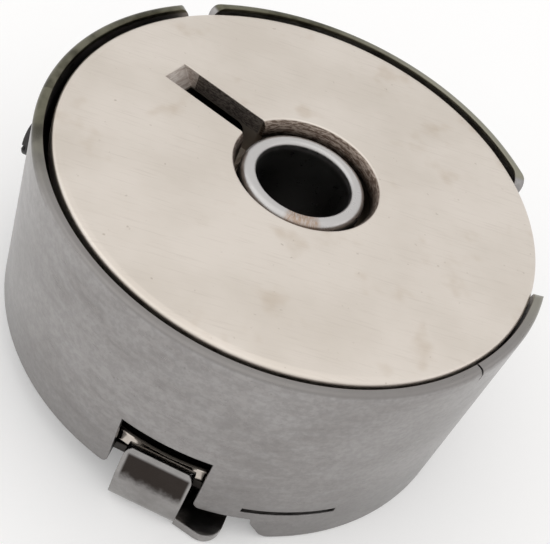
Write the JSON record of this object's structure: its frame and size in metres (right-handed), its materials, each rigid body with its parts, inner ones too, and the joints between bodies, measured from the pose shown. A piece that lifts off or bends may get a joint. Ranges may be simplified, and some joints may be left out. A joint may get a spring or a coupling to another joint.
{
  "type": "sewing machine bobbin case with bobbin",
  "caption": "Steel bobbin case for a sewing machine hook, a round cup with latch lever and tension leaf, holding a slotted bobbin on its hollow post.",
  "frame": {"origin": "on the axis, where the stud bore opens in the floor's outer face", "axes": "+Z along the axis towards the open side of the case; the case stands on its two base pads"},
  "size_m": [0.0275, 0.0275, 0.0126],
  "materials": {
    "case_steel": "satin turned steel",
    "bobbin_steel": "ground satin steel",
    "latch_steel": "satin pressed steel",
    "spring_steel": "rolled spring steel",
    "pin_steel": "drawn steel wire",
    "screw_steel": "blackened steel"
  },
  "bodies": {
    "case": {"case_body": "case_steel", "anti_spin_spring": "spring_steel", "latch_spring": "spring_steel", "tension_spring": "spring_steel", "spring_fixing_screw": "screw_steel"},
    "bobbin": {"bobbin": "bobbin_steel"},
    "slide": {"latch_slide": "latch_steel"},
    "lever": {"latch_lever": "latch_steel", "lever_hinge_pin": "pin_steel"},
    "adjuster": {"tension_screw": "screw_steel"}
  },
  "joints": [
    {"name": "bobbin_spin", "type": "hinge", "parent": "case", "child": "bobbin", "pos_m": [0, 0, 0.005], "axis": [0, 0, 1], "continuous": true},
    {"name": "slide_travel", "type": "slide", "parent": "case", "child": "slide", "axis": [-0.2164, -0.9763, 0], "range_m": [0, 0.00244], "stiffness_N_per_m": 20, "springref_m": -0.003, "deforming": ["latch_spring"]},
    {"name": "lever_hinge", "type": "hinge", "parent": "slide", "child": "lever", "pos_m": [-0.00232, -0.01045, -0.0006], "axis": [-0.9763, 0.2164, 0], "range_deg": [0, 70]},
    {"name": "tension_screw_turn", "type": "hinge", "parent": "case", "child": "adjuster", "pos_m": [-0.01252, 0.00557, 0.00525], "axis": [-0.9135, 0.4067, 0], "range_deg": [-180, 180]}
  ],
  "couplings": [
    {"joint": "lever_hinge", "follows": "slide_travel", "rad_per_m": 500}
  ]
}
